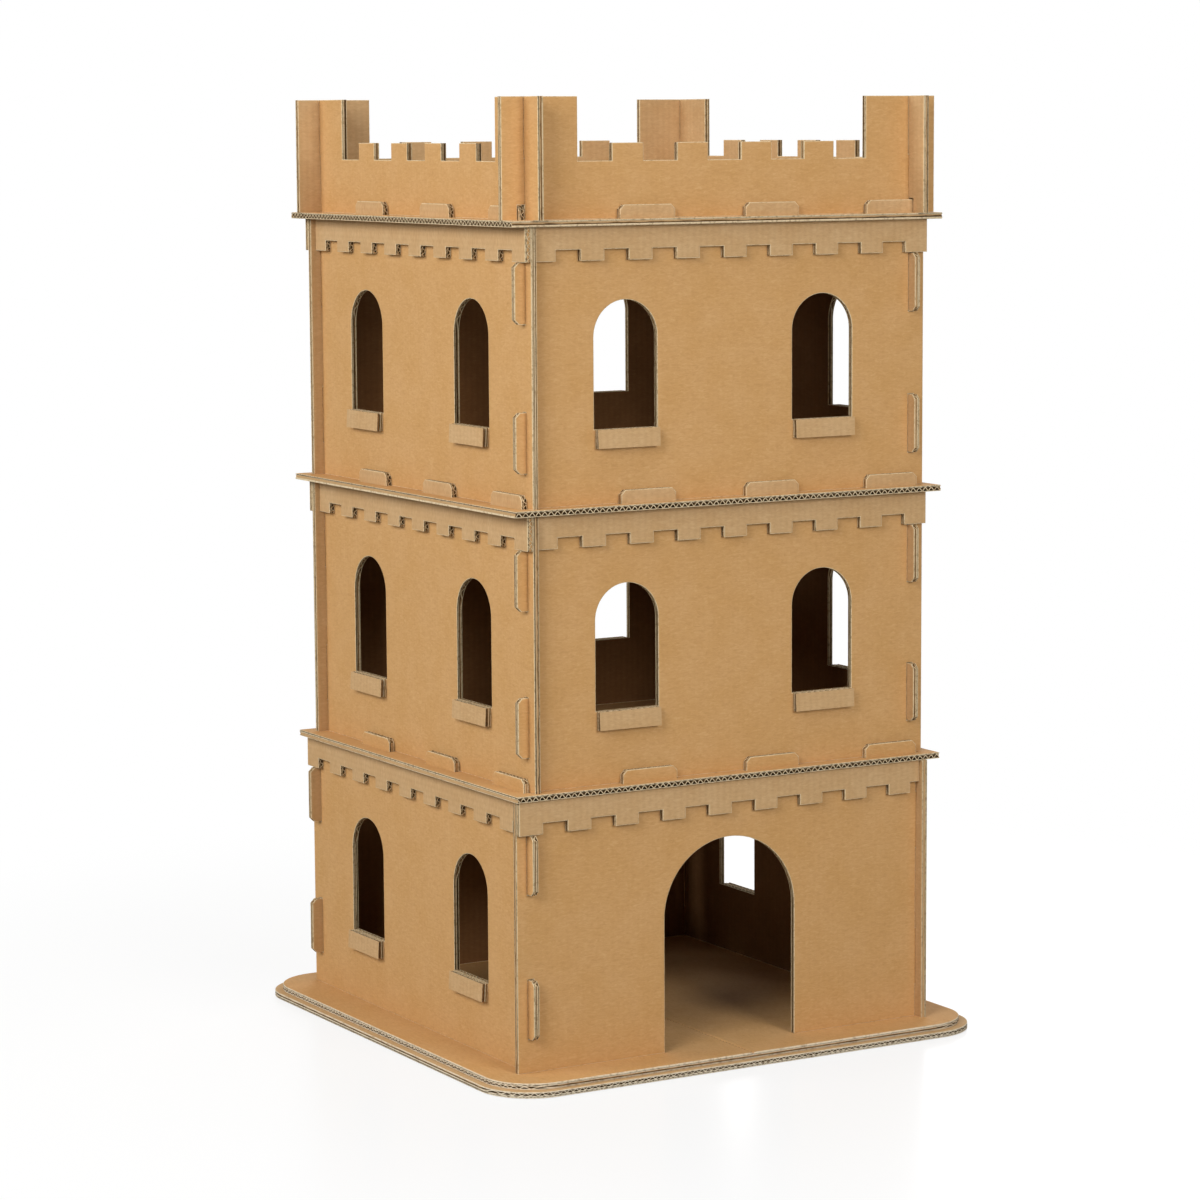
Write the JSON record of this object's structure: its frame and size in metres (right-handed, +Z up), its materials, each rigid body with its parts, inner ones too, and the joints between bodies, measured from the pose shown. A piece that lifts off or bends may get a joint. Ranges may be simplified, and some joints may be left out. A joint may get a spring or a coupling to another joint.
{
  "type": "cardboard cat castle",
  "caption": "Three-storey castle of slotted corrugated board with arched windows, a doorway, toothed valances and a crenellated roof terrace, for a cat to climb in.",
  "frame": {"origin": "on the floor, under the middle of the base", "axes": "+Z up, the wall with the door faces -Y, +X to the right seen from the door side"},
  "size_m": [0.62, 0.62, 1.05],
  "materials": {
    "kraft_board": "plain brown kraft liner with open flutes at the cut edges"
  },
  "bodies": {
    "root": {"base_lower": "kraft_board", "base_upper": "kraft_board", "ground_valance_back": "kraft_board", "ground_valance_front": "kraft_board", "ground_valance_left": "kraft_board", "ground_valance_right": "kraft_board", "ground_wall_back": "kraft_board", "ground_wall_front": "kraft_board", "ground_wall_left": "kraft_board", "ground_wall_right": "kraft_board", "middle_floor": "kraft_board", "middle_valance_back": "kraft_board", "middle_valance_front": "kraft_board", "middle_valance_left": "kraft_board", "middle_valance_right": "kraft_board", "middle_wall_back": "kraft_board", "middle_wall_front": "kraft_board", "middle_wall_left": "kraft_board", "middle_wall_right": "kraft_board", "parapet_back": "kraft_board", "parapet_front": "kraft_board", "parapet_left": "kraft_board", "parapet_right": "kraft_board", "terrace_deck": "kraft_board", "top_floor": "kraft_board", "top_valance_back": "kraft_board", "top_valance_front": "kraft_board", "top_valance_left": "kraft_board", "top_valance_right": "kraft_board", "top_wall_back": "kraft_board", "top_wall_front": "kraft_board", "top_wall_left": "kraft_board", "top_wall_right": "kraft_board"}
  },
  "joints": []
}
